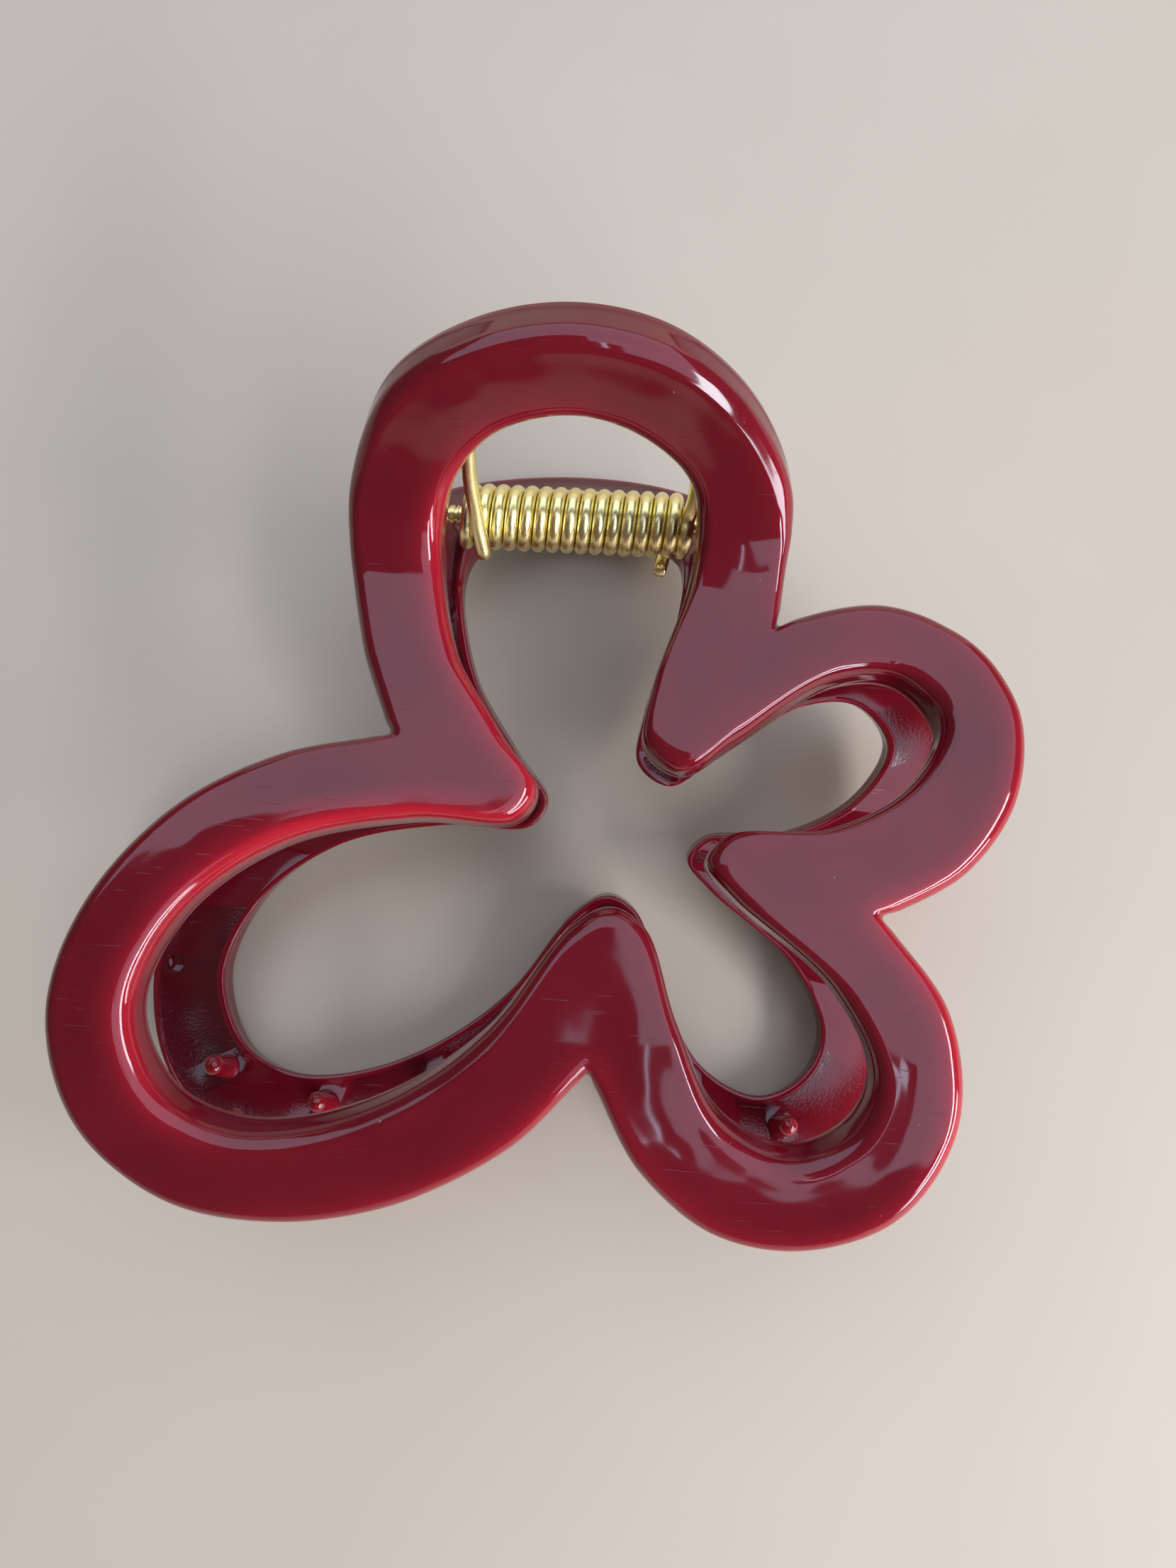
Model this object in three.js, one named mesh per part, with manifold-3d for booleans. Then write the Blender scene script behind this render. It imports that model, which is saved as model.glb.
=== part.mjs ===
// Four-lobed hair claw clip, closed and lying on its back jaw.
// Millimetres. X runs along the hinge pin, +Y towards the finger levers, +Z up out of the front jaw.
// The two jaws are mirror images about the plane z = 0, and the middle of their open flower is y = 0.
import * as THREE from "three";
import { mergeVertices } from "three/addons/utils/BufferGeometryUtils.js";
import Module from "manifold-3d";

const wasm = await Module();
wasm.setup();

const JAW = { thickness: 5, fillet: 1.9, bevel: 0.35, crown: 0.1, stepsPerSpan: 6 };
const HINGE_Y = 33.8;
const PIN = { radius: 0.95, halfLength: 18.9, grooveDepth: 0.15, grooveWidth: 0.35, grooveX: [13.6, 12.9] };
const EAR = { thickness: 1.8, bossRadius: 2.7, sink: 1.2, lowEnd: 22, highEnd: 37.5, pinGap: 0.3 };
const EAR_INNER_X = { back: 14.0, front: 16.1 };
const SPRING = { wireRadius: 0.75, coilRadius: 2.75, turns: 15.5, pitch: 1.54, leverGap: 0.45 };
const SPRING_STEPS = { perTurn: 12, legs: 70 };
const PEG = { baseRadius: 1.25, tipRadius: 1.1, length: 6.5, sink: 1.5 };
const REST_TILT = THREE.MathUtils.degToRad(9.49);

const WINE = { color: 0x7a1424, roughness: 0.18, metalness: 0 };
const GOLD = { color: 0xc9a35a, roughness: 0.3, metalness: 1 };

// Side view of one jaw's inner face as (y, z): the tip, the belly, the waist at the hinge, the lever.
const SIDE_PROFILE = [
  [-42, 5.8], [-33, 8.9], [-22, 11.2], [-16, 11.5], [-8, 11.2], [8, 9.3], [16, 7.7],
  [22, 6.8], [26, 6.8], [30, 7.8], [34, 10.1], [37.9, 13.8], [42.2, 19.2], [48.6, 28.4],
];

// Plan of the band, as matching points of its outer and inner edge: [outer x, outer s, inner x, inner s].
// s runs along the curved side profile from y = 0. The list goes anticlockwise from the lever's top.
const BAND = [
  [0, 54.5, -0.1, 45.4], [-8.9, 52.6, -6.8, 43.3], [-17, 46.9, -10.9, 38.1], [-21.1, 37.5, -12.3, 33.3],
  [-21.7, 28.9, -12.6, 27], [-19.6, 16.7, -10.4, 16.9], [-16.9, 9.9, -5.4, 8.8], [-16.3, 8.5, -1.8, 3.9],
  [-18.2, 8, -3.6, 0.9], [-26.5, 6, -13.6, 0.5], [-36, 0.6, -25.6, -2.4], [-43.6, -8.8, -34.6, -9.4],
  [-46.4, -18.6, -38.2, -18.2], [-43.4, -29.2, -35, -25.8], [-35, -36, -29.2, -28.6],
  [-24.6, -37.5, -22.2, -28.2], [-12.8, -34.9, -13.6, -24.8], [-2.4, -28.8, -5.2, -18.4],
  [3.4, -22.6, 1.9, -8.9], [4.4, -21.7, 5.7, -6.7], [5.2, -22.9, 9.1, -8.5], [9.6, -30.4, 12.5, -17],
  [17, -36.2, 17.2, -25.4], [25.6, -37.4, 23.8, -28.4], [34.4, -33.6, 29.2, -25.6],
  [39, -24.6, 30.9, -20.6], [37.6, -14.6, 27, -13.2], [32.4, -7.9, 17.3, -5.4], [31.2, -6.4, 14.6, -2.1],
  [33, -5.6, 16.6, 0.5], [39, -1.9, 25.8, 1.5], [43.6, 5, 33.4, 5.8], [44.2, 13.6, 36.6, 11.9],
  [39.8, 20.6, 32.8, 16.5], [31.1, 24.5, 26.6, 16.2], [22.8, 22.6, 17, 9.5], [20.8, 21.6, 12, 6.3],
  [21, 23.6, 8.3, 8.7], [21.3, 28.7, 8.7, 14.2], [21.5, 33.3, 11.8, 25.2], [20.8, 38.5, 12.4, 33],
  [16, 46.9, 11, 38.9], [8.6, 52.7, 5.8, 43.8],
];

// Peg teeth on each jaw's inner face, as [x, s]. The two rows are staggered so that they close past each other.
const PEGS = {
  back: [[-36.6, -28.4], [-24.8, -31.9], [-12.6, -28.9], [26.3, -31.6]],
  front: [[-42.6, -17.6], [-31.4, -32.2], [-18.8, -32.0], [17.4, -31.0], [34.4, -26.6]],
};

const profileCurve = new THREE.CatmullRomCurve3(
  SIDE_PROFILE.map(([y, z]) => new THREE.Vector3(0, y, z)), false, "centripetal");
profileCurve.arcLengthDivisions = 2000;
const profileStart = arcLengthToMiddle();

// Length of the side profile from its tip end to y = 0.
function arcLengthToMiddle() {
  const lengths = profileCurve.getLengths();
  const last = lengths.length - 1;
  const index = lengths.findIndex((_, i) => profileCurve.getPoint(i / last).y >= 0);
  return lengths[index];
}

// A point at x, s along the jaw and a depth out from its inner face, on the jaw whose face looks along side.
function onJaw(x, s, depth, side = 1) {
  const u = (s + profileStart) / profileCurve.getLength();
  const point = profileCurve.getPointAt(u);
  const tangent = profileCurve.getTangentAt(u);
  return new THREE.Vector3(x, point.y - tangent.z * depth, side * (point.z + tangent.y * depth));
}

// Outward direction of the jaw's face at s.
function faceNormal(s, side) {
  return onJaw(0, s, 1, side).sub(onJaw(0, s, 0, side)).normalize();
}

// A closed curve through one edge of the band; column 0 is the outer edge and column 2 the inner.
function edgeCurve(column) {
  const points = BAND.map((row) => new THREE.Vector3(row[column], row[column + 1], 0));
  return new THREE.CatmullRomCurve3(points, true, "centripetal");
}

// Section of the band as [distance from the outer edge, depth]: sharp at the inner face, filleted outside.
function bandSection(width) {
  const { thickness, fillet, bevel, crown } = JAW;
  const round = fillet * (1 - Math.SQRT1_2);
  const outerHalf = [[bevel, 0], [0, bevel], [0, thickness - fillet], [round, thickness - round], [fillet, thickness]];
  const innerHalf = outerHalf.map(([a, depth]) => [width - a, depth]).reverse();
  return [...outerHalf, [width / 2, thickness + crown], ...innerHalf];
}

// The flower-shaped band of one jaw as one closed ring of sections.
function bandGeometry(side) {
  const outer = edgeCurve(0);
  const inner = edgeCurve(2);
  const stations = BAND.length * JAW.stepsPerSpan;
  const positions = [];
  for (let i = 0; i < stations; i += 1) {
    const p = outer.getPoint(i / stations);
    const q = inner.getPoint(i / stations);
    const width = p.distanceTo(q);
    for (const [a, depth] of bandSection(width)) {
      const at = p.clone().lerp(q, a / width);
      positions.push(...onJaw(at.x, at.y, depth, side).toArray());
    }
  }
  return ringOfSections(positions, stations, side > 0);
}

// Joins equal sections, listed one after another around a ring, into a closed surface.
function ringOfSections(positions, stations, flip) {
  const rim = positions.length / 3 / stations;
  const index = [];
  for (let i = 0; i < stations; i += 1) {
    for (let j = 0; j < rim; j += 1) {
      const a = i * rim + j;
      const b = i * rim + ((j + 1) % rim);
      const c = ((i + 1) % stations) * rim + ((j + 1) % rim);
      const d = ((i + 1) % stations) * rim + j;
      index.push(...(flip ? [a, c, b, a, d, c] : [a, b, c, a, c, d]));
    }
  }
  const geometry = new THREE.BufferGeometry();
  geometry.setAttribute("position", new THREE.Float32BufferAttribute(positions, 3));
  geometry.setIndex(index);
  return geometry;
}

// One ear: a gusset from the bar's inner face down to a boss round the pin, with a bore for the pin.
function earGeometry(innerX, side) {
  const outline = new THREE.Shape();
  const barSteps = 8;
  for (let i = 0; i <= barSteps; i += 1) {
    const s = THREE.MathUtils.lerp(EAR.highEnd, EAR.lowEnd, i / barSteps);
    const at = onJaw(0, s, EAR.sink);
    if (i === 0) outline.moveTo(at.y, at.z);
    else outline.lineTo(at.y, at.z);
  }
  outline.lineTo(HINGE_Y - EAR.bossRadius, 0);
  outline.absarc(HINGE_Y, 0, EAR.bossRadius, Math.PI, 2 * Math.PI, false);
  outline.closePath();
  const bore = new THREE.Path();
  bore.absarc(HINGE_Y, 0, PIN.radius + EAR.pinGap, 0, 2 * Math.PI, true);
  outline.holes.push(bore);
  const geometry = new THREE.ExtrudeGeometry(outline, { depth: EAR.thickness, bevelEnabled: false, curveSegments: 10 });
  const shapeToWorld = new THREE.Matrix4().makeBasis(
    new THREE.Vector3(0, 1, 0), new THREE.Vector3(0, 0, 1), new THREE.Vector3(1, 0, 0));
  geometry.applyMatrix4(shapeToWorld);
  geometry.translate(innerX, 0, 0);
  if (side < 0) geometry.applyMatrix4(new THREE.Matrix4().makeRotationAxis(new THREE.Vector3(0, 1, 0), Math.PI));
  return geometry;
}

// A round peg with a domed tip, standing on the inner face at x, s.
function pegGeometry(x, s, side) {
  const { baseRadius, tipRadius, length, sink } = PEG;
  const profile = [[0, -sink], [baseRadius, -sink], [baseRadius, 0], [tipRadius, length - tipRadius]];
  for (const angle of [30, 60]) {
    const turn = THREE.MathUtils.degToRad(angle);
    profile.push([tipRadius * Math.cos(turn), length - tipRadius * (1 - Math.sin(turn))]);
  }
  profile.push([0, length]);
  const geometry = new THREE.LatheGeometry(profile.map(([r, h]) => new THREE.Vector2(r, h)), 16);
  const inward = faceNormal(s, side).negate();
  geometry.applyQuaternion(new THREE.Quaternion().setFromUnitVectors(new THREE.Vector3(0, 1, 0), inward));
  const foot = onJaw(x, s, 0, side);
  return geometry.translate(foot.x, foot.y, foot.z);
}

// A closed three.js geometry as a manifold solid.
function solid(geometry) {
  geometry.deleteAttribute("normal");
  geometry.deleteAttribute("uv");
  const merged = mergeVertices(geometry, 1e-4);
  return new wasm.Manifold(new wasm.Mesh({
    numProp: 3,
    vertProperties: new Float32Array(merged.attributes.position.array),
    triVerts: new Uint32Array(merged.index.array),
  }));
}

// A manifold solid as a three.js geometry.
function toGeometry(manifold) {
  const mesh = manifold.getMesh();
  const geometry = new THREE.BufferGeometry();
  geometry.setAttribute("position", new THREE.BufferAttribute(mesh.vertProperties, 3));
  geometry.setIndex(new THREE.BufferAttribute(mesh.triVerts, 1));
  return geometry;
}

// One whole jaw: band, two ears and its pegs in one moulding.
function jawGeometry(side) {
  const name = side > 0 ? "front" : "back";
  const innerX = EAR_INNER_X[name];
  const additions = [
    earGeometry(innerX, side),
    earGeometry(-innerX - EAR.thickness, side),
    ...PEGS[name].map(([x, s]) => pegGeometry(x, s, side)),
  ];
  return toGeometry(additions.reduce((body, piece) => body.add(solid(piece)), solid(bandGeometry(side))));
}

// The hinge pin, with two turned grooves near each end.
function pinGeometry() {
  const { radius, halfLength, grooveDepth, grooveWidth, grooveX } = PIN;
  const right = [[halfLength, 0], [halfLength, radius * 0.6], [halfLength - radius * 0.4, radius]];
  for (const centre of grooveX) {
    right.push([centre + grooveWidth / 2, radius], [centre + grooveWidth / 4, radius - grooveDepth]);
    right.push([centre - grooveWidth / 4, radius - grooveDepth], [centre - grooveWidth / 2, radius]);
  }
  const left = right.map(([x, r]) => [-x, r]).reverse();
  const profile = [...right, ...left].reverse().map(([x, r]) => new THREE.Vector2(r, x));
  const geometry = new THREE.LatheGeometry(profile, 20);
  return geometry.rotateZ(-Math.PI / 2).translate(0, HINGE_Y, 0);
}

// Half of the spring's loop under the front lever, from its cut end in front of the coil to the coil's end.
function frontLegPoints() {
  const { wireRadius, leverGap } = SPRING;
  const depth = -(wireRadius + leverGap);
  const underLever = [[-9.9, 41.2], [-7.2, 43.1], [0, 43.8], [7.6, 43.0], [11.5, 40.2]];
  return [
    new THREE.Vector3(-9.3, HINGE_Y - 4.7, 1.6),
    new THREE.Vector3(-10.0, HINGE_Y - 1.4, 5.0),
    new THREE.Vector3(-10.5, HINGE_Y + 2.2, 9.6),
    ...underLever.map(([x, s]) => onJaw(x, s, depth)),
    new THREE.Vector3(12.4, HINGE_Y + 1.8, 5.4),
  ];
}

// Centre line of the spring wire: a loop under the front lever, the close coil round the pin, and the same
// loop under the back lever, turned half a turn about the coil's middle.
function springPath() {
  const { coilRadius, turns, pitch } = SPRING;
  const stepsPerTurn = SPRING_STEPS.perTurn;
  const frontLeg = frontLegPoints();
  const backLeg = frontLeg.map((p) => new THREE.Vector3(-p.x, p.y, -p.z)).reverse();
  const coil = [];
  for (let i = turns * stepsPerTurn; i >= 0; i -= 1) {
    const angle = Math.PI / 2 + (2 * Math.PI * i) / stepsPerTurn;
    const x = pitch * (i / stepsPerTurn - turns / 2);
    coil.push(new THREE.Vector3(x, HINGE_Y + coilRadius * Math.cos(angle), -coilRadius * Math.sin(angle)));
  }
  return new THREE.CatmullRomCurve3([...frontLeg, ...coil, ...backLeg], false, "centripetal");
}

function springGeometry() {
  const wire = new THREE.Shape().absarc(0, 0, SPRING.wireRadius, 0, 2 * Math.PI, false);
  const extrudePath = springPath();
  extrudePath.arcLengthDivisions = 4000;
  const steps = SPRING.turns * SPRING_STEPS.perTurn + SPRING_STEPS.legs;
  return new THREE.ExtrudeGeometry(wire, { steps, extrudePath, curveSegments: 4 });
}

function addPart(name, geometry, look) {
  const mesh = new THREE.Mesh(geometry, new THREE.MeshStandardMaterial(look));
  mesh.name = name;
  clip.add(mesh);
}

const clip = new THREE.Group();
addPart("back_jaw", jawGeometry(-1), WINE);
addPart("front_jaw", jawGeometry(1), WINE);
addPart("hinge_pin", pinGeometry(), GOLD);
addPart("torsion_spring", springGeometry(), GOLD);

// Laid on the table: the belly and the lever's top of the back jaw touch it.
clip.rotation.x = REST_TILT;
const box = new THREE.Box3().setFromObject(clip, true);
clip.position.set(-(box.min.x + box.max.x) / 2, -(box.min.y + box.max.y) / 2, -box.min.z);

const group = new THREE.Group();
group.add(clip);
export default group;
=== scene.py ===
"""Four-lobed hair claw clip: detailed jaws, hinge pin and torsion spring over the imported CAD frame.

Lengths in the tables are millimetres in the clip's own frame: X along the hinge pin, +Y towards the finger
levers, +Z out of the front jaw, and the two jaws mirrored about z = 0. to_row() takes them to the row frame.
"""

import math

import bmesh
import bpy
import numpy as np
from mathutils import Matrix, Vector
from mathutils.kdtree import KDTree


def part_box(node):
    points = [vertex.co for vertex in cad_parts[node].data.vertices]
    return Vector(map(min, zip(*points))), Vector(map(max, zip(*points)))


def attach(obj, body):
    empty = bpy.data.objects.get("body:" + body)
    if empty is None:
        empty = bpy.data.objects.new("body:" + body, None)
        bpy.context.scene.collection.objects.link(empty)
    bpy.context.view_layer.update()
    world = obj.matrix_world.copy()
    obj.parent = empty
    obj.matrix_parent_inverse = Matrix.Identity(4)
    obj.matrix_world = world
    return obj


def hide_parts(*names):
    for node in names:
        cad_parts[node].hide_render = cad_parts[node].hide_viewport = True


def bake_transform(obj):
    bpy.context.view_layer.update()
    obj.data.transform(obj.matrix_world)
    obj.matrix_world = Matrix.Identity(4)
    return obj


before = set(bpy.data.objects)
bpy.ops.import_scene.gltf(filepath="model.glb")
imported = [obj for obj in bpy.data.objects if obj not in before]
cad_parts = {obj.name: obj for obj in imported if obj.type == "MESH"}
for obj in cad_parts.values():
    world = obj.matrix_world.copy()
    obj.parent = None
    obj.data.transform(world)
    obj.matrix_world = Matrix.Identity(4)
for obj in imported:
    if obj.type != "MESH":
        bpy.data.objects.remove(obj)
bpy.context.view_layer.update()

MM = 0.001
HINGE_Y = 33.8
REST_TILT = math.radians(9.49)

JAW = {"thickness": 5.0, "fillet": 1.9, "bevel": 0.25, "crown": 0.1}
STATIONS_PER_SPAN = 14
PIN = {"radius": 0.95, "half_length": 18.9, "groove_depth": 0.15, "groove_width": 0.35,
       "groove_x": [13.55, 12.8], "collar_growth": 1.13}
EAR = {"thickness": 1.8, "boss_radius": 2.7, "sink": 1.2, "low_end": 22.0, "high_end": 37.5, "pin_gap": 0.3,
       "edge_round": 0.35, "bore_mouth": 0.15, "rim_points": 120}
EAR_INNER_X = {"back": 14.0, "front": 16.1}
SPRING = {"wire_radius": 0.75, "coil_radius": 2.75, "turns": 15.5, "pitch": 1.54, "lever_gap": 0.45}
DIMPLE = {"x": -43.9, "s": -17.0, "radius": 1.1, "depth": 0.8, "cutter_top": 0.6}
PEG = {"base_radius": 1.25, "tip_radius": 1.1, "length": 6.5, "sink": 1.5}
# The flare at a peg's foot, as (how far past the base radius, height above the inner face).
PEG_FLARE = [(0.35, -0.3), (0.32, 0.0), (0.12, 0.12), (0.0, 0.4)]

# The low lip along the edges of the inner face, and the mould's parting line round the walls. Depths are
# measured outwards from the inner face.
LIP = {"width": 0.75, "height": 0.06, "slope": 0.12}
PARTING_LINE = {"height": 0.03, "depth": 0.7, "half_top": 0.04, "half_foot": 0.15}
PLAIN_WALL_DEPTH = 1.6

# Painted light: how far the red is painted brighter, as glowing, where light comes in at the rims: mostly on
# edges that face the windows.
PAINTED_GLOW = {"reach": 3.6, "falloff": 1.5, "lit_side": (0.86, -0.5), "anywhere": 0.10, "ears": 0.4, "pegs": 0.25}

# The photograph's view, in millimetres and degrees.
VIEW = {"x": 4.6, "height": 125, "lens": 27.02, "roll": 3.0, "pan": 0.67, "tilt": 2.62}

# Side view of one jaw's inner face as (y, z): the tip, the belly, the waist at the hinge, the lever.
SIDE_PROFILE = [
    (-42, 5.8), (-33, 8.9), (-22, 11.2), (-16, 11.5), (-8, 11.2), (8, 9.3), (16, 7.7),
    (22, 6.8), (26, 6.8), (30, 7.8), (34, 10.1), (37.9, 13.8), (42.2, 19.2), (48.6, 28.4),
]

# Plan of the band as matching points of its outer and inner edge: (outer x, outer s, inner x, inner s).
# s runs along the curved side profile from y = 0. The list goes anticlockwise from the lever's top.
BAND = [
    (0, 54.5, -0.1, 45.4), (-8.9, 52.6, -6.8, 43.3), (-17, 46.9, -10.9, 38.1), (-21.1, 37.5, -12.3, 33.3),
    (-21.7, 28.9, -12.6, 27), (-19.6, 16.7, -10.4, 16.9), (-16.9, 9.9, -5.4, 8.8),
    (-16.3, 8.5, -1.8, 3.9), (-18.2, 8, -3.6, 0.9), (-26.5, 6, -13.6, 0.5), (-36, 0.6, -25.6, -2.4),
    (-43.6, -8.8, -34.6, -9.4), (-46.4, -18.6, -38.2, -18.2), (-43.4, -29.2, -35, -25.8),
    (-35, -36, -29.2, -28.6), (-24.6, -37.5, -22.2, -28.2), (-12.8, -34.9, -13.6, -24.8),
    (-2.4, -28.8, -5.2, -18.4), (3.4, -22.6, 1.9, -8.9), (4.4, -21.7, 5.7, -6.7),
    (5.2, -22.9, 9.1, -8.5), (9.6, -30.4, 12.5, -17), (17, -36.2, 17.2, -25.4),
    (25.6, -37.4, 23.8, -28.4), (34.4, -33.6, 29.2, -25.6), (39, -24.6, 30.9, -20.6),
    (37.6, -14.6, 27, -13.2), (32.4, -7.9, 17.3, -5.4), (31.2, -6.4, 14.6, -2.1), (33, -5.6, 16.6, 0.5),
    (39, -1.9, 25.8, 1.5), (43.6, 5, 33.4, 5.8), (44.2, 13.6, 36.6, 11.9), (39.8, 20.6, 32.8, 16.5),
    (31.1, 24.5, 26.6, 16.2), (22.8, 22.6, 17, 9.5), (20.8, 21.6, 12, 6.3), (21, 23.6, 8.3, 8.7),
    (21.3, 28.7, 8.7, 14.2), (21.5, 33.3, 11.8, 25.2), (20.8, 38.5, 12.4, 33), (16, 46.9, 11, 38.9),
    (8.6, 52.7, 5.8, 43.8),
]

# Peg teeth on each jaw's inner face, as (x, s).
PEGS = {
    "back": [(-36.6, -28.4), (-24.8, -31.9), (-12.6, -28.9), (26.3, -31.6)],
    "front": [(-42.6, -17.6), (-31.4, -32.2), (-18.8, -32.0), (17.4, -31.0), (34.4, -26.6)],
}


# ---------------------------------------------------------------- frame and curves

def resting_place():
    """The middle of the CAD pin in the row frame, and the clip's lean as a matrix."""
    low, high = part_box("hinge_pin")
    return np.array((low + high) / 2), np.array(Matrix.Rotation(REST_TILT, 3, "X"))


def to_row(points):
    """Clip-frame millimetres to row-frame metres: the hinge axis goes to the CAD pin's middle."""
    pin_middle, lean = resting_place()
    local = np.asarray(points, float) - (0, HINGE_Y, 0)
    return local @ lean.T * MM + pin_middle


def to_clip(points):
    """Row-frame metres back to clip-frame millimetres."""
    pin_middle, lean = resting_place()
    return (points - pin_middle) / MM @ lean + (0, HINGE_Y, 0)


def catmull_rom(points, samples, closed=False):
    """Points along the centripetal Catmull-Rom curve through the given ones, with samples to each span."""
    p = np.asarray(points, float)
    if closed:
        before, start, end, after = np.roll(p, 1, 0), p, np.roll(p, -1, 0), np.roll(p, -2, 0)
    else:
        start, end = p[:-1], p[1:]
        before = np.vstack([2 * p[0] - p[1], p[:-2]])
        after = np.vstack([p[2:], 2 * p[-1] - p[-2]])
    gap0, gap1, gap2 = (np.linalg.norm(b - a, axis=1)[:, None] ** 0.5
                        for a, b in ((before, start), (start, end), (end, after)))
    chord = (end - start) / gap1
    slope0 = ((start - before) / gap0 - (end - before) / (gap0 + gap1) + chord) * gap1
    slope1 = (chord - (after - start) / (gap1 + gap2) + (after - end) / gap2) * gap1
    u = (np.arange(samples) / samples)[None, :, None]
    a, b, m, n = start[:, None], end[:, None], slope0[:, None], slope1[:, None]
    curve = a + m * u + (3 * (b - a) - 2 * m - n) * u**2 + (2 * (a - b) + m + n) * u**3
    curve = curve.reshape(-1, p.shape[1])
    return curve if closed else np.vstack([curve, p[-1]])


class SideProfile:
    """The curved side view of a jaw's inner face, measured by s along it from y = 0."""

    def __init__(self, points):
        self.yz = catmull_rom(points, 200)
        steps = np.linalg.norm(np.diff(self.yz, axis=0), axis=1)
        length = np.concatenate([[0], np.cumsum(steps)])
        self.s = length - np.interp(0, self.yz[:, 0], length)
        slope = np.gradient(self.yz, self.s, axis=0)
        self.tangent = slope / np.linalg.norm(slope, axis=1)[:, None]

    def at(self, s):
        """(y, z) and the unit tangent (ty, tz) at s."""
        y, z = (np.interp(s, self.s, self.yz[:, k]) for k in (0, 1))
        ty, tz = (np.interp(s, self.s, self.tangent[:, k]) for k in (0, 1))
        return y, z, ty, tz


PROFILE = SideProfile(SIDE_PROFILE)


def on_jaw(x, s, depth, side=1):
    """Clip-frame points at x, s and a depth out from the inner face.

    Here and below, side is 1 for the front jaw and -1 for the back jaw.
    """
    x, s, depth = np.broadcast_arrays(np.asarray(x, float), s, depth)
    y, z, ty, tz = PROFILE.at(s)
    return np.stack([x, y - tz * depth, side * (z + ty * depth)], axis=-1)


# ---------------------------------------------------------------- mesh helpers

def ring_faces(rings, rim, closed_rings=True):
    """Quads between equal rims of vertices listed ring after ring."""
    faces = []
    last = rings if closed_rings else rings - 1
    for i in range(last):
        for j in range(rim):
            a, b = i * rim + j, i * rim + (j + 1) % rim
            k = (i + 1) % rings
            faces.append((a, b, k * rim + (j + 1) % rim, k * rim + j))
    return faces


def make_object(name, points, faces):
    """A mesh object in the row frame from clip-frame points, with its normals made to face outwards."""
    mesh = bpy.data.meshes.new(name)
    mesh.from_pydata([tuple(p) for p in to_row(points)], [], faces)
    bm = bmesh.new()
    bm.from_mesh(mesh)
    bmesh.ops.recalc_face_normals(bm, faces=bm.faces)
    bm.to_mesh(mesh)
    bm.free()
    piece = bpy.data.objects.new(name, mesh)
    bpy.context.scene.collection.objects.link(piece)
    return piece


def lathe(outline, around):
    """Rings of (axial, y, z) points turned from (radius, axial) pairs, closed with a point at each end."""
    angles = 2 * math.pi * np.arange(around) / around
    rings = [np.stack([np.full(around, a), r * np.cos(angles), r * np.sin(angles)], 1) for r, a in outline]
    points = np.vstack(rings + [[[outline[0][1], 0, 0]], [[outline[-1][1], 0, 0]]])
    faces = ring_faces(len(outline), around, closed_rings=False)
    first, last = len(points) - 2, len(points) - 1
    top = (len(outline) - 1) * around
    for j in range(around):
        k = (j + 1) % around
        faces.append((first, k, j))
        faces.append((last, top + j, top + k))
    return points, faces


def arc(centre, radius, start, end, steps):
    """Points of a circular arc, angles in degrees."""
    angles = np.radians(np.linspace(start, end, steps + 1))
    return [(centre[0] + radius * math.cos(a), centre[1] + radius * math.sin(a)) for a in angles]


def carve(base, additions, operation="UNION"):
    """Joins the additions into base as one solid, or cuts them out of it, and removes them."""
    for addition in additions:
        modifier = base.modifiers.new("carve", "BOOLEAN")
        modifier.operation = operation
        modifier.solver = "MANIFOLD"
        modifier.object = addition
    graph = bpy.context.evaluated_depsgraph_get()
    joined = bpy.data.meshes.new_from_object(base.evaluated_get(graph))
    base.modifiers.clear()
    base.data = joined
    for addition in additions:
        bpy.data.objects.remove(addition)
    return base


def smooth(piece, sharp_degrees):
    """Smooth shading, kept sharp across edges steeper than sharp_degrees."""
    piece.data.polygons.foreach_set("use_smooth", [True] * len(piece.data.polygons))
    piece.data.set_sharp_from_angle(angle=math.radians(sharp_degrees))


# ---------------------------------------------------------------- jaws

def band_section():
    """Half of the band's section as (distance from the edge, depth), from the inner face out to the fillet.

    The inner face rises to its lip and ends in a small round. The parting line stands proud of the wall.
    """
    thickness, fillet, bevel = JAW["thickness"], JAW["fillet"], JAW["bevel"]
    line, middle = PARTING_LINE["height"], PARTING_LINE["depth"]
    half = [(LIP["width"] + LIP["slope"], 0.0), (LIP["width"], -LIP["height"])]
    half += [(bevel - a, bevel - LIP["height"] - b) for a, b in arc((0, 0), bevel, 84, 6, 5)]
    half += [(0.0, middle - PARTING_LINE["half_foot"]), (-line, middle - PARTING_LINE["half_top"])]
    half += [(-line, middle + PARTING_LINE["half_top"]), (0.0, middle + PARTING_LINE["half_foot"])]
    half += [(0.0, PLAIN_WALL_DEPTH)]
    half += [(fillet - a, thickness - fillet + b) for a, b in arc((0, 0), fillet, 0, 90, 12)]
    return half


def band_edges():
    """The band's outer and inner edge in plan, as matching rows of (x, s)."""
    return (catmull_rom([row[k:k + 2] for row in BAND], STATIONS_PER_SPAN, closed=True) for k in (0, 2))


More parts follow.
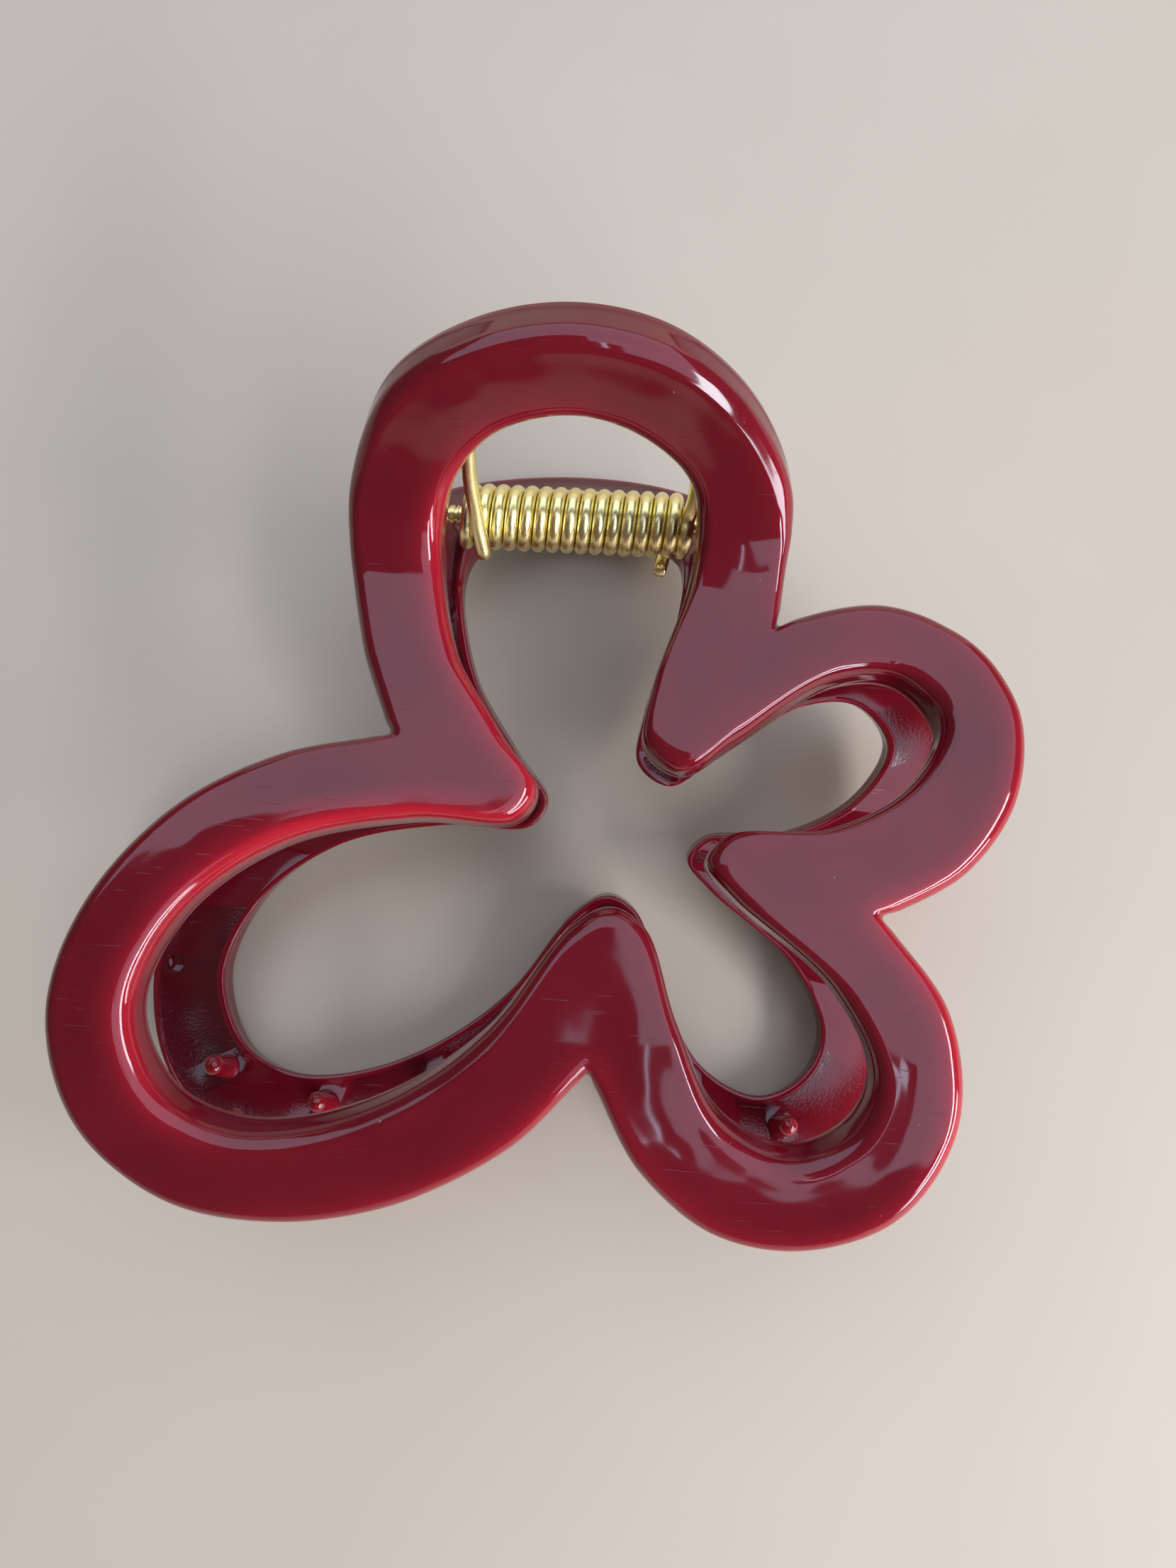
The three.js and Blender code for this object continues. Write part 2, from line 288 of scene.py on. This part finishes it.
def band_mesh(side):
    """Points and faces of one jaw's flower-shaped band."""
    outer, inner = band_edges()
    width = np.linalg.norm(inner - outer, axis=1)
    half = band_section()
    crown_rows = np.linspace(-1, 1, 11)[1:-1]
    rim = 2 * len(half) + len(crown_rows)
    points = np.zeros((len(outer), rim, 3))
    for i, (p, q, w) in enumerate(zip(outer, inner, width)):
        flat = w / 2 - JAW["fillet"]
        crown = [(w / 2 + flat * c, JAW["thickness"] + JAW["crown"] * (1 - c * c) ** 2) for c in crown_rows]
        section = half + crown + [(w - a, depth) for a, depth in reversed(half)]
        share = np.array([a / w for a, _ in section])[:, None]
        at = p + (q - p) * share
        points[i] = on_jaw(at[:, 0], at[:, 1], [depth for _, depth in section], side)
    return points.reshape(-1, 3), ring_faces(len(outer), rim)


def ear_mesh(inner_x, side):
    """One ear: a rounded gusset plate from the bar down to a boss round the pin, bored for the pin."""
    high = on_jaw(0, np.linspace(EAR["high_end"], EAR["low_end"], 24), EAR["sink"])[:, 1:]
    boss = arc((HINGE_Y, 0), EAR["boss_radius"], 180, 360, 24)
    outline = resample(np.vstack([high, boss]), EAR["rim_points"])
    away = outline - (HINGE_Y, 0)
    away /= np.linalg.norm(away, axis=1)[:, None]
    bore_radius = PIN["radius"] + EAR["pin_gap"]
    half, mouth = EAR["thickness"] / 2, EAR["bore_mouth"]
    rings = []
    for x, inset in ear_edge(half, EAR["edge_round"]):
        rings.append((x, outline - outward_2d(outline) * inset))
    # The bore has a shallow groove just inside each mouth, so its rings widen there.
    for x, inset in reversed(ear_edge(half, mouth)):
        widening = 2 * mouth - inset if inset else 0
        rings.append((x, (HINGE_Y, 0) + away * (bore_radius + widening)))
    centre = inner_x + half
    points = np.vstack([np.column_stack([np.full(len(r), x + centre), r]) for x, r in rings])
    if side < 0:
        points = points * (-1, 1, -1)  # half a turn about Y puts the ear on the back jaw
    return points, ring_faces(len(rings), len(outline))


def ear_edge(half, edge):
    """(x, inset) pairs over a plate's edge from one face to the other, rounded by edge."""
    turn = np.radians([90, 60, 30, 0])
    low = [(-half + edge - edge * math.sin(t), edge - edge * math.cos(t)) for t in turn]
    return low + [(-x, inset) for x, inset in reversed(low)]


def resample(outline, count):
    """A closed outline with count evenly spaced points."""
    closed = np.vstack([outline, outline[:1]])
    length = np.concatenate([[0], np.cumsum(np.linalg.norm(np.diff(closed, axis=0), axis=1))])
    at = np.linspace(0, length[-1], count, endpoint=False)
    return np.column_stack([np.interp(at, length, closed[:, k]) for k in (0, 1)])


def outward_2d(outline):
    """Unit outward normals of a closed outline, whichever way round it goes."""
    tangent = np.roll(outline, -1, 0) - np.roll(outline, 1, 0)
    normal = np.column_stack([tangent[:, 1], -tangent[:, 0]])
    normal /= np.linalg.norm(normal, axis=1)[:, None]
    centred = outline - outline.mean(axis=0)
    return normal * np.sign((normal * centred).sum())


def peg_mesh(x, s, side):
    """A round domed peg with a flared foot, standing on the inner face at x, s."""
    base, tip, length, sink = (PEG[k] for k in ("base_radius", "tip_radius", "length", "sink"))
    outline = [(base, -sink)] + [(base + flare, height) for flare, height in PEG_FLARE]
    outline += arc((0, length - tip), tip, 0, 84, 8)
    return stand_on_jaw(lathe(outline, 32), x, s, side)


def dimple_mesh(side):
    """The cutter for a shallow round dimple left by the mould on the inner face."""
    radius, depth = DIMPLE["radius"], DIMPLE["depth"]
    outline = [(radius * 1.02, -DIMPLE["cutter_top"]), (radius, 0.0)]
    outline += [(radius * 0.94, depth * 0.8), (radius * 0.7, depth)]
    return stand_on_jaw(lathe(outline, 32), DIMPLE["x"], DIMPLE["s"], side, outwards=True)


def stand_on_jaw(turned, x, s, side, outwards=False):
    """A turned form's points and faces, moved to stand on the inner face at x, s or to sink into it."""
    points, faces = turned
    foot = on_jaw(x, s, 0, side)
    along = foot - on_jaw(x, s, -1 if outwards else 1, side)
    along_x = np.array([1.0, 0, 0])
    across = np.cross(along, along_x)
    return foot + points[:, :1] * along + points[:, 1:2] * along_x + points[:, 2:3] * across, faces


def jaw(name):
    """One whole jaw, joined from its band, two ears and its pegs."""
    side = 1 if name == "front" else -1
    piece = make_object(name + "_jaw_moulding", *band_mesh(side))
    inner_x = EAR_INNER_X[name]
    parts = [ear_mesh(inner_x, side), ear_mesh(-inner_x - EAR["thickness"], side)]
    parts += [peg_mesh(x, s, side) for x, s in PEGS[name]]
    additions = [make_object(f"{name}_part_{i}", *part) for i, part in enumerate(parts)]
    carve(piece, additions)
    if name == "back":
        carve(piece, [make_object("dimple", *dimple_mesh(side))], "DIFFERENCE")
    smooth(piece, sharp_degrees=35)
    mark_painted_light_and_frosting(piece, side)
    return piece


def unroll(piece, side):
    """x, s and depth of each of a jaw's vertices: what on_jaw() takes them from."""
    points = to_clip(np.array([v.co for v in piece.data.vertices]))
    every_fifth = slice(None, None, 5)
    yz, tangent, s = PROFILE.yz[every_fifth], PROFILE.tangent[every_fifth], PROFILE.s[every_fifth]
    flat = np.column_stack([points[:, 1], points[:, 2] * side])
    near = np.array([((yz - p) ** 2).sum(axis=1).argmin() for p in flat])
    offset, along = flat - yz[near], tangent[near]
    depth = offset[:, 1] * along[:, 0] - offset[:, 0] * along[:, 1]
    return points[:, 0], s[near] + (offset * along).sum(axis=1), depth


def painted_rim_glow(x, s, depth, side):
    """How strongly each vertex is painted as glowing, and its distance from the nearest edge of the band in
    plan.
    """
    outer, inner = band_edges()
    outwards = (outer - inner) / np.linalg.norm(outer - inner, axis=1)[:, None]
    lit = np.clip(np.concatenate([outwards, -outwards]) @ PAINTED_GLOW["lit_side"], 0, 1)
    tree = KDTree(2 * len(outer))
    for i, (rim_x, rim_s) in enumerate(np.concatenate([outer, inner])):
        tree.insert((rim_x, rim_s, 0), i)
    tree.balance()
    found = [tree.find((a, b, 0)) for a, b in zip(x, s)]
    distance = np.array([gap for _, _, gap in found])
    near_rim = np.clip(1 - distance / PAINTED_GLOW["reach"], 0, 1) ** PAINTED_GLOW["falloff"]
    if side > 0:
        near_rim *= np.clip(0.26 * depth - 0.3, 0, 1)  # full at the outer face and gone near the inner one
    else:
        lit[len(outer):] = 0  # the holes of the back jaw are in shade
    nearest = [i for _, i, _ in found]
    return near_rim * (PAINTED_GLOW["anywhere"] + (1 - PAINTED_GLOW["anywhere"]) * lit[nearest]), distance


def mark_painted_light_and_frosting(piece, side):
    """Stores how strongly each vertex is painted as glowing, and which vertices are on the inner face's
    frosting, whose colour also gets painted shade.
    """
    x, s, depth = unroll(piece, side)
    painted_glow, rim_distance = painted_rim_glow(x, s, depth, side)
    on_ear_or_peg = depth < -0.3
    # Ears and pegs get a fixed level of painted light, as glowing.
    painted_glow = np.where(on_ear_or_peg, np.where(s > 0, PAINTED_GLOW["ears"], PAINTED_GLOW["pegs"]), painted_glow)
    # The inner face's frosting also marks where the colour is painted darker as shade.
    on_inner_face = (np.abs(depth) < 0.04) & (rim_distance > LIP["width"] + 0.05)
    store(piece, "painted_glow", painted_glow)
    store(piece, "frosted_with_painted_shade", on_inner_face)


def store(piece, name, values):
    """A value for each vertex, for the material to read."""
    attribute = piece.data.attributes.new(name, "FLOAT", "POINT")
    attribute.data.foreach_set("value", np.asarray(values, np.float32))


# ---------------------------------------------------------------- pin and spring

def pin():
    """The hinge pin, with rounded tips and, near each end, two turned grooves between raised collars."""
    radius, half, width = PIN["radius"], PIN["half_length"], PIN["groove_width"]
    collar, groove = radius * PIN["collar_growth"], radius - PIN["groove_depth"]
    falling = [(radius, 1), (collar, 0.85), (collar, 0.5), (groove, 0.25)]
    groove_profile = falling + [(r, -share) for r, share in reversed(falling)]
    right = [(0.02, half), (radius * 0.45, half - 0.03), (radius * 0.8, half - 0.15), (radius, half - 0.4)]
    for centre in PIN["groove_x"]:
        right += [(r, centre + width * share) for r, share in groove_profile]
    outline = [(r, -a) for r, a in right] + [(r, a) for r, a in reversed(right)]
    points, faces = lathe(outline, 40)
    piece = make_object("hinge_pin_rod", points + (0, HINGE_Y, 0), faces)
    smooth(piece, sharp_degrees=40)
    return piece


def front_leg():
    """The spring's loop under the front lever, from its cut end in front of the coil to the coil's end."""
    depth = -(SPRING["wire_radius"] + SPRING["lever_gap"])
    under_lever = [(-9.9, 41.2), (-7.2, 43.1), (0, 43.8), (7.6, 43.0), (11.5, 40.2)]
    route = [(-9.3, HINGE_Y - 4.7, 1.6), (-10.0, HINGE_Y - 1.4, 5.0), (-10.5, HINGE_Y + 2.2, 9.6)]
    route += [tuple(on_jaw(x, s, depth)) for x, s in under_lever]
    return route + [(12.4, HINGE_Y + 1.8, 5.4)]


def spring_path():
    """Centre line of the wire: the front loop, the close coil, and the back loop turned half a turn."""
    front = front_leg()
    back = [(-x, y, -z) for x, y, z in reversed(front)]
    per_turn = 12
    coil = []
    for i in range(int(SPRING["turns"] * per_turn), -1, -1):
        angle = math.pi / 2 + 2 * math.pi * i / per_turn
        x = SPRING["pitch"] * (i / per_turn - SPRING["turns"] / 2)
        radius = SPRING["coil_radius"]
        coil.append((x, HINGE_Y + radius * math.cos(angle), -radius * math.sin(angle)))
    return catmull_rom(front + coil + back, samples=6)


def tube(path, radius, around):
    """A round wire swept along the path with rounded cut ends, on frames that turn as little as they can."""
    tangent = np.gradient(path, axis=0)
    tangent /= np.linalg.norm(tangent, axis=1)[:, None]
    normal = np.cross(tangent[0], (0, 0, 1.0))
    angles = 2 * math.pi * np.arange(around) / around
    rings = []
    for p, t in zip(path, tangent):
        normal = normal - t * (normal @ t)
        normal /= np.linalg.norm(normal)
        side = np.cross(t, normal)
        rings.append(np.cos(angles)[:, None] * normal + np.sin(angles)[:, None] * side)
    rings = np.array(rings)
    body = (path[:, None] + radius * rings)[1:-1]
    cut_end = [(0.0, 0.92), (0.1, 0.75)]  # (how far past the path's end, share of the radius)
    start = [path[0] - tangent[0] * past + radius * share * rings[0] for past, share in reversed(cut_end)]
    finish = [path[-1] + tangent[-1] * past + radius * share * rings[-1] for past, share in cut_end]
    points = np.concatenate([np.array(start), body, np.array(finish)]).reshape(-1, 3)
    count = len(start) + len(body) + len(finish)
    faces = ring_faces(count, around, closed_rings=False)
    faces.append(tuple(range(around)))
    faces.append(tuple((count - 1) * around + j for j in reversed(range(around))))
    return points, faces


def spring():
    """The torsion spring in one wire."""
    piece = make_object("torsion_spring_wire", *tube(spring_path(), SPRING["wire_radius"], around=24))
    smooth(piece, sharp_degrees=50)
    return piece


# ---------------------------------------------------------------- materials

class Nodes:
    """Short calls that add nodes to a material and wire them up."""

    def __init__(self, name):
        self.material = bpy.data.materials.new(name)
        self.material.use_nodes = True
        self.tree = self.material.node_tree
        self.shader = self.tree.nodes["Principled BSDF"]
        self.place = self.tree.nodes.new("ShaderNodeTexCoord").outputs["Object"]

    def feed(self, target, value):
        """Wires another node's output to an input, or sets a plain value on it."""
        if isinstance(value, bpy.types.NodeSocket):
            self.tree.links.new(value, target)
        else:
            target.default_value = value

    def add(self, kind, inputs=None, **settings):
        """A node of this kind. Its inputs take plain values or other nodes' outputs."""
        node = self.tree.nodes.new(kind)
        for key, value in settings.items():
            setattr(node, key, value)
        for key, value in (inputs or {}).items():
            self.feed(node.inputs[key], value)
        return node

    def noise(self, scale, detail=2.0, roughness=0.5, stretch=(1, 1, 1), turn=(0, 0, 0)):
        """Noise of that many waves to the metre, as a value around 0.5."""
        mapping = self.add("ShaderNodeMapping", {"Vector": self.place, "Scale": stretch, "Rotation": turn})
        place = mapping.outputs["Vector"]
        inputs = {"Vector": place, "Scale": scale, "Detail": detail, "Roughness": roughness}
        return self.add("ShaderNodeTexNoise", inputs).outputs["Fac"]

    def ramp(self, value, low, high, to_low=0.0, to_high=1.0):
        """The value between low and high, stretched to run from to_low to to_high."""
        inputs = {"Value": value, "From Min": low, "From Max": high, "To Min": to_low, "To Max": to_high}
        return self.add("ShaderNodeMapRange", inputs).outputs["Result"]

    def mix(self, factor, a, b):
        """Colour a where the factor is 0 and b where it is 1."""
        node = self.add("ShaderNodeMix", data_type="RGBA")
        for index, value in ((0, factor), (6, a), (7, b)):
            self.feed(node.inputs[index], value)
        return node.outputs[2]

    def math(self, operation, a, b):
        """The sum or product of two values."""
        node = self.add("ShaderNodeMath", operation=operation)
        for index, value in ((0, a), (1, b)):
            self.feed(node.inputs[index], value)
        return node.outputs[0]

    def bump(self, height, distance, strength=1.0, normal=None):
        """A normal bent by a height, with the distance in metres, on top of another normal if given."""
        inputs = {"Height": height, "Distance": distance, "Strength": strength}
        if normal is not None:
            inputs["Normal"] = normal
        return self.add("ShaderNodeBump", inputs).outputs["Normal"]

    def set(self, **values):
        """Principled inputs by name, with _ for a space."""
        for key, value in values.items():
            self.feed(self.shader.inputs[key.replace("_", " ")], value)


def plastic(name):
    """Wine-red translucent plastic: glossy outside, with a frosting inside whose red is painted darker as
    shade, and painted brighter where it glows.
    """
    n = Nodes(name)
    frosted_with_painted_shade = n.add("ShaderNodeAttribute", attribute_name="frosted_with_painted_shade").outputs["Fac"]
    scratch = n.ramp(n.noise(240, 1.0, stretch=(1, 16, 16), turn=(0.2, 0.1, 0.7)), 0.72, 0.76)
    faint_scratch = n.math("MULTIPLY", scratch, 0.3)
    wave = n.bump(n.noise(42, 2.4), 0.0015)
    grain = n.math("MULTIPLY", n.noise(3600, 2.0, 0.6), frosted_with_painted_shade)
    normal = n.bump(n.math("ADD", faint_scratch, grain), 0.000028, 1.0, wave)
    polish = n.ramp(n.math("ADD", n.noise(160, 3.0), faint_scratch), 0.3, 0.9, 0.05, 0.13)
    roughness = n.math("ADD", polish, n.math("MULTIPLY", frosted_with_painted_shade, 0.08))
    n.set(Base_Color=wine_red(n, frosted_with_painted_shade), Roughness=roughness, Normal=normal, IOR=1.52)
    n.set(Subsurface_Weight=1.0, Subsurface_Radius=(1.0, 0.10, 0.14), Subsurface_Scale=0.003)
    return n.material


def wine_red(n, frosted_with_painted_shade):
    """The plastic's colour: cloudy deep red, painted darker as shade on the inner face's frosting, two steps
    of brighter red painted as glowing light, and specks of dust.
    """
    painted_glow = n.add("ShaderNodeAttribute", attribute_name="painted_glow").outputs["Fac"]
    painted_glow = n.math("MULTIPLY", painted_glow, n.ramp(n.noise(38, 1.0), 0.3, 0.7, 0.75, 1.0))
    cloud = n.ramp(n.noise(60, 3.0), 0.35, 0.65)
    colour = n.mix(cloud, (0.120, 0.0032, 0.0090, 1), (0.148, 0.0043, 0.0116, 1))
    # Painted shade: the inner face's frosting is given a much darker red, where it lies in the other jaw's
    # shade.
    colour = n.mix(frosted_with_painted_shade, colour, (0.058, 0.0014, 0.0040, 1))
    # Painted light: two steps of brighter red where the rims are painted as glowing.
    colour = n.mix(n.ramp(painted_glow, 0.0, 0.5), colour, (0.27, 0.0070, 0.0170, 1))
    colour = n.mix(n.ramp(painted_glow, 0.4, 1.0), colour, (0.52, 0.0160, 0.0270, 1))
    dust = n.ramp(n.noise(1300, 1.0), 0.83, 0.86, 0.0, 0.35)
    return n.mix(dust, colour, (0.60, 0.42, 0.42, 1))


def gold(name):
    """Bright brass-coloured metal, slightly uneven in colour, polish and surface."""
    n = Nodes(name)
    cloud = n.ramp(n.noise(220, 3.0), 0.35, 0.7)
    colour = n.mix(cloud, (0.96, 0.85, 0.43, 1), (0.91, 0.76, 0.33, 1))
    roughness = n.ramp(n.noise(400, 2.0), 0.3, 0.7, 0.24, 0.31)
    normal = n.bump(n.noise(1500, 2.0), 0.000005, 0.5)
    n.set(Base_Color=colour, Metallic=1.0, Roughness=roughness, Normal=normal)
    return n.material


def paint(piece, material):
    """Gives the piece one material."""
    piece.data.materials.clear()
    piece.data.materials.append(material)


# ---------------------------------------------------------------- stage

def floor():
    """A plain pale table top."""
    n = Nodes("table_top")
    shade = n.ramp(n.noise(9, 4.0), 0.3, 0.7)
    n.set(Base_Color=n.mix(shade, (0.49, 0.390, 0.297, 1), (0.53, 0.430, 0.332, 1)), Roughness=0.6)
    bm = bmesh.new()
    bmesh.ops.create_grid(bm, x_segments=1, y_segments=1, size=3)
    mesh = bpy.data.meshes.new("table_top")
    bm.to_mesh(mesh)
    bm.free()
    top = bpy.data.objects.new("table_top", mesh)
    bpy.context.scene.collection.objects.link(top)
    paint(top, n.material)


def softbox(name, centre, size, watts, colour, aim=(0, 0, 0)):
    """A rectangular area light at a point in metres, facing the aim point."""
    light = bpy.data.lights.new(name, "AREA")
    light.shape = "RECTANGLE"
    light.size, light.size_y = size
    light.energy = watts
    light.color = colour
    lamp = bpy.data.objects.new(name, light)
    bpy.context.scene.collection.objects.link(lamp)
    lamp.location = centre
    lamp.rotation_euler = (Vector(aim) - Vector(centre)).to_track_quat("-Z", "Y").to_euler()


def lights():
    """Cool panels overhead with dark gaps between them, two windows at the right, a far wall, a dim room."""
    cool = (0.62, 0.77, 1.0)
    softbox("ceiling", (0.05, 0.44, 0.5), (1.1, 0.9), 5.6, cool, (0.05, 0.44, 0))
    softbox("right_ceiling", (0.33, -0.30, 0.5), (0.42, 0.6), 1.5, cool, (0.33, -0.30, 0))
    softbox("near_ceiling", (0.07, -0.10, 0.5), (0.10, 0.20), 0.12, cool, (0.07, -0.10, 0))
    softbox("strip", (0.062, -0.36, 0.5), (0.014, 0.34), 0.10, cool, (0.062, -0.36, 0))
    softbox("window", (0.52, -0.50, 0.42), (0.95, 0.12), 7.0, (0.86, 0.92, 1.0), (0, -0.5, 0))
    softbox("low_window", (0.55, -0.46, 0.15), (0.60, 0.12), 3.4, (0.86, 0.90, 1.0))
    softbox("far_wall", (0, 0.95, 0.22), (1.6, 0.4), 1.6, (1.0, 0.93, 0.84))
    world = bpy.data.worlds.new("room")
    world.use_nodes = True
    background = world.node_tree.nodes["Background"]
    background.inputs["Color"].default_value = (0.60, 0.52, 0.46, 1)
    background.inputs["Strength"].default_value = 0.21
    bpy.context.scene.world = world


def camera():
    """The photograph's view: from above the clip's mid-plane, nearly straight down the clip's own Z."""
    data = bpy.data.cameras.new("camera")
    data.sensor_fit = "AUTO"
    data.sensor_width = 36
    data.lens = VIEW["lens"]
    data.clip_start = 0.01
    camera_object = bpy.data.objects.new("camera", data)
    bpy.context.scene.collection.objects.link(camera_object)
    place = Matrix.Translation(Vector(to_row((VIEW["x"], 0, VIEW["height"]))))
    place = place @ Matrix.Rotation(REST_TILT, 4, "X")
    for key, axis in (("roll", "Z"), ("pan", "Y"), ("tilt", "X")):
        place = place @ Matrix.Rotation(math.radians(VIEW[key]), 4, axis)
    camera_object.matrix_world = place
    bpy.context.scene.camera = camera_object


# ---------------------------------------------------------------- the clip

def build_clip():
    """All four pieces in place of their CAD nodes: each jaw on its body, the pin on the back jaw's body, and
    the spring on none.
    """
    wine = plastic("wine_plastic")
    metal = gold("gold_wire")
    for name in ("back", "front"):
        piece = jaw(name)
        paint(piece, wine)
        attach(piece, name)
        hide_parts(name + "_jaw")
    rod = pin()
    wire = spring()
    for piece, node in ((rod, "hinge_pin"), (wire, "torsion_spring")):
        paint(piece, metal)
        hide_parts(node)
    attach(rod, "back")
    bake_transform(wire)


bpy.context.scene.view_settings.view_transform = "Standard"
build_clip()
floor()
lights()
camera()
